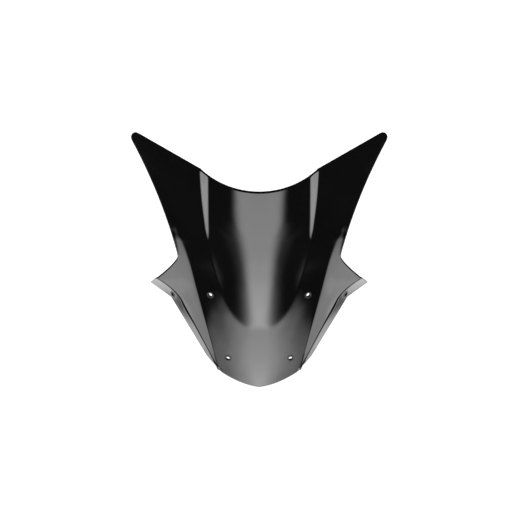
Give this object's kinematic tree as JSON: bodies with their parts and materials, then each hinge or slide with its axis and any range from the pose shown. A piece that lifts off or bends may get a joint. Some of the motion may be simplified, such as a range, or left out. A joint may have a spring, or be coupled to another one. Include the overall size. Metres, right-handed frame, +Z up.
{
  "type": "motorcycle windshield screen",
  "caption": "Dark formed motorcycle screen with a raised centre panel, two swept ears and steep side flanges, held through rubber grommets.",
  "frame": {"origin": "the point midway between the four face screw bores, on the middle plane", "axes": "+X across the screen to the right as seen from the front, -Y faces forward, +Z up"},
  "size_m": [0.4498, 0.3646, 0.3349],
  "materials": {
    "smoked_sheet": "polished dark smoked sheet",
    "rubber": "matt black moulded rubber",
    "dark_steel": "black plated steel"
  },
  "bodies": {
    "root": {"screen_panel": "smoked_sheet", "grommet_lower_left": "rubber", "grommet_lower_right": "rubber", "grommet_upper_left": "rubber", "grommet_upper_right": "rubber", "grommet_side_left": "rubber", "grommet_side_right": "rubber", "collar_lower_left": "dark_steel", "collar_lower_right": "dark_steel", "collar_upper_left": "dark_steel", "collar_upper_right": "dark_steel", "collar_side_left": "dark_steel", "collar_side_right": "dark_steel"}
  },
  "joints": []
}
